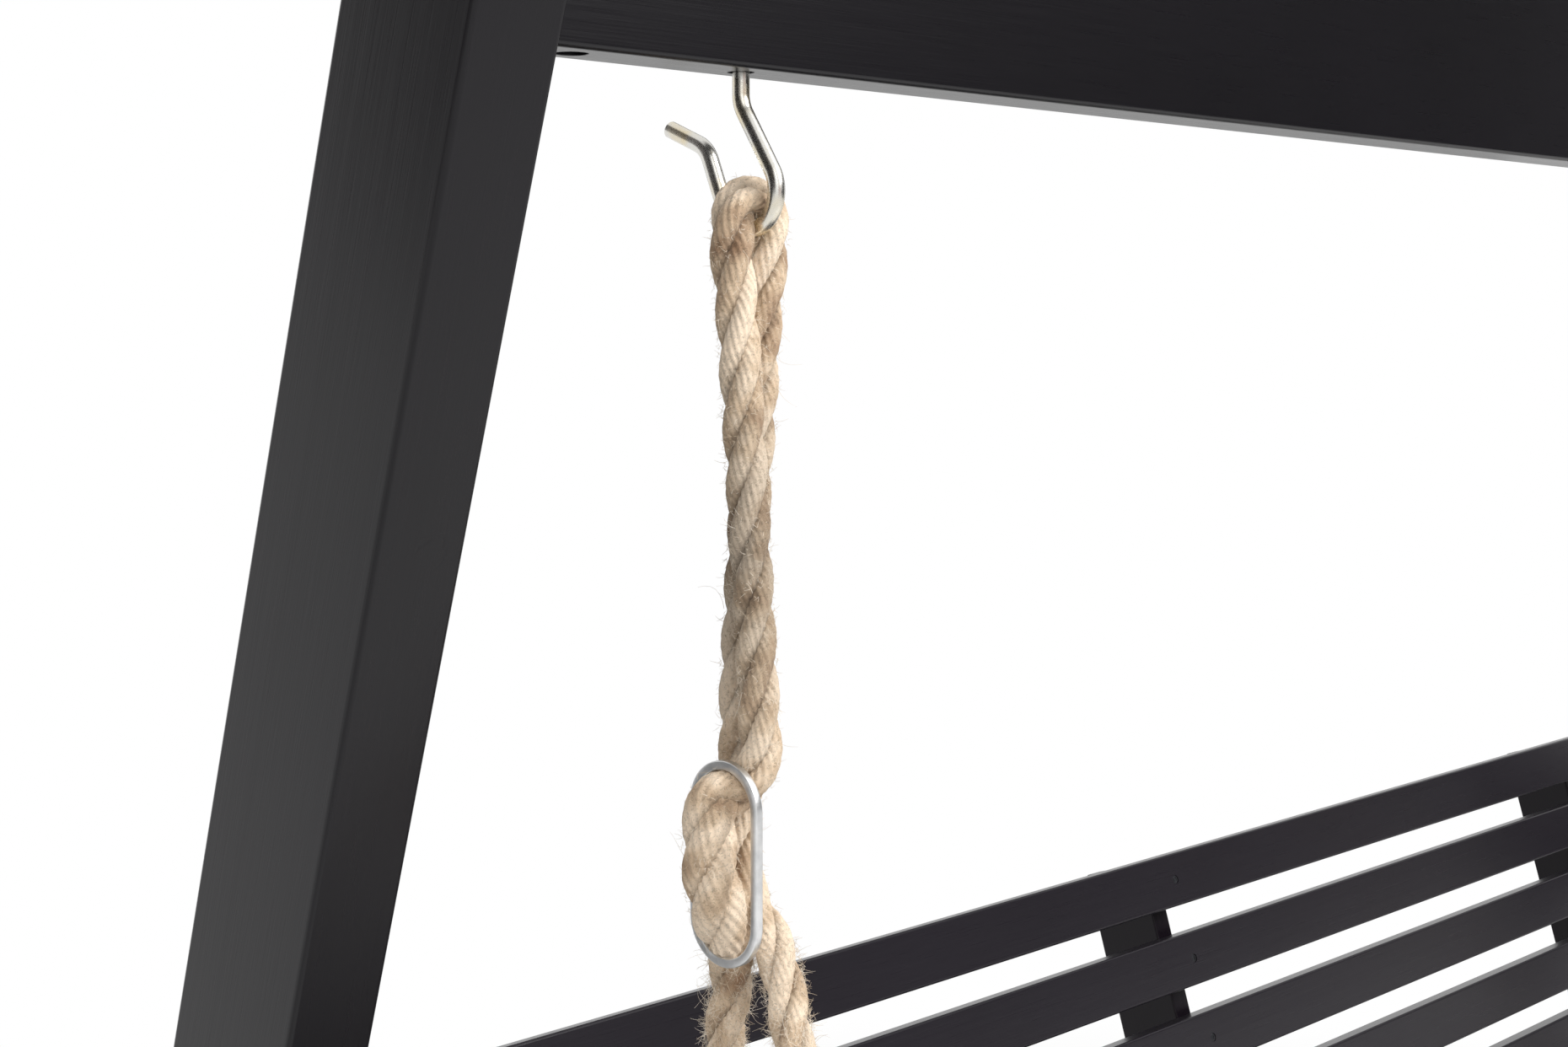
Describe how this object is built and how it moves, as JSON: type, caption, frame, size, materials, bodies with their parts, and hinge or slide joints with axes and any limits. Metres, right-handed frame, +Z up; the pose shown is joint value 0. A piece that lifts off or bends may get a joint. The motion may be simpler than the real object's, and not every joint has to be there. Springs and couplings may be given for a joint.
{
  "type": "garden swing",
  "caption": "Free-standing painted timber frame with a slatted bench hung on ropes from steel hooks, for sitting and swinging outdoors.",
  "frame": {"origin": "on the ground, midway between the legs and under the two hooks' bowls", "axes": "+X along the beam, +Y towards the bench's back, +Z up"},
  "size_m": [2.1344, 1.1384, 1.7158],
  "materials": {
    "painted_wood": "semi-matt",
    "black_bolt": "satin",
    "zinc_plate": "bright zinc",
    "galvanised_ring": "satin",
    "hemp_rope": "rough"
  },
  "bodies": {
    "frame": {"top_beam": "painted_wood", "rear_stretcher": "painted_wood", "rear_leg_left": "painted_wood", "front_leg_left": "painted_wood", "side_rail_left": "painted_wood", "leg_screw_left": "black_bolt", "side_rail_bolt_left": "black_bolt", "stretcher_screw_left": "black_bolt", "hook_left": "zinc_plate", "hook_nut_left": "zinc_plate", "beam_bolt_left_lower": "black_bolt", "beam_bolt_left_upper": "black_bolt", "barrel_nut_left_lower": "zinc_plate", "barrel_nut_left_upper": "zinc_plate", "rear_leg_right": "painted_wood", "front_leg_right": "painted_wood", "side_rail_right": "painted_wood", "leg_screw_right": "black_bolt", "side_rail_bolt_right": "black_bolt", "stretcher_screw_right": "black_bolt", "hook_right": "zinc_plate", "hook_nut_right": "zinc_plate", "beam_bolt_right_lower": "black_bolt", "beam_bolt_right_upper": "black_bolt", "barrel_nut_right_lower": "zinc_plate", "barrel_nut_right_upper": "zinc_plate"},
    "bench": {"front_apron": "painted_wood", "front_bearer": "painted_wood", "rear_bearer": "painted_wood", "armrest_left": "painted_wood", "arm_post_left": "painted_wood", "rope_ring_left": "galvanised_ring", "rope_left": "hemp_rope", "armrest_right": "painted_wood", "arm_post_right": "painted_wood", "rope_ring_right": "galvanised_ring", "rope_right": "hemp_rope", "back_slat_1": "painted_wood", "back_slat_2": "painted_wood", "back_slat_3": "painted_wood", "back_slat_4": "painted_wood", "back_slat_5": "painted_wood", "back_slat_6": "painted_wood", "back_slat_7": "painted_wood", "back_slat_8": "painted_wood", "seat_slat_1": "painted_wood", "seat_slat_2": "painted_wood", "seat_slat_3": "painted_wood", "seat_slat_4": "painted_wood", "seat_slat_5": "painted_wood", "seat_slat_6": "painted_wood", "seat_slat_7": "painted_wood", "seat_slat_8": "painted_wood", "back_rib_left": "painted_wood", "back_rib_centre": "painted_wood", "back_rib_right": "painted_wood", "seat_rib_left": "painted_wood", "seat_rib_centre": "painted_wood", "seat_rib_right": "painted_wood"}
  },
  "joints": [
    {"name": "seat_swing", "type": "hinge", "parent": "frame", "child": "bench", "pos_m": [0, 0, 1.5055], "axis": [1, 0, 0], "range_deg": [-25, 25]}
  ]
}
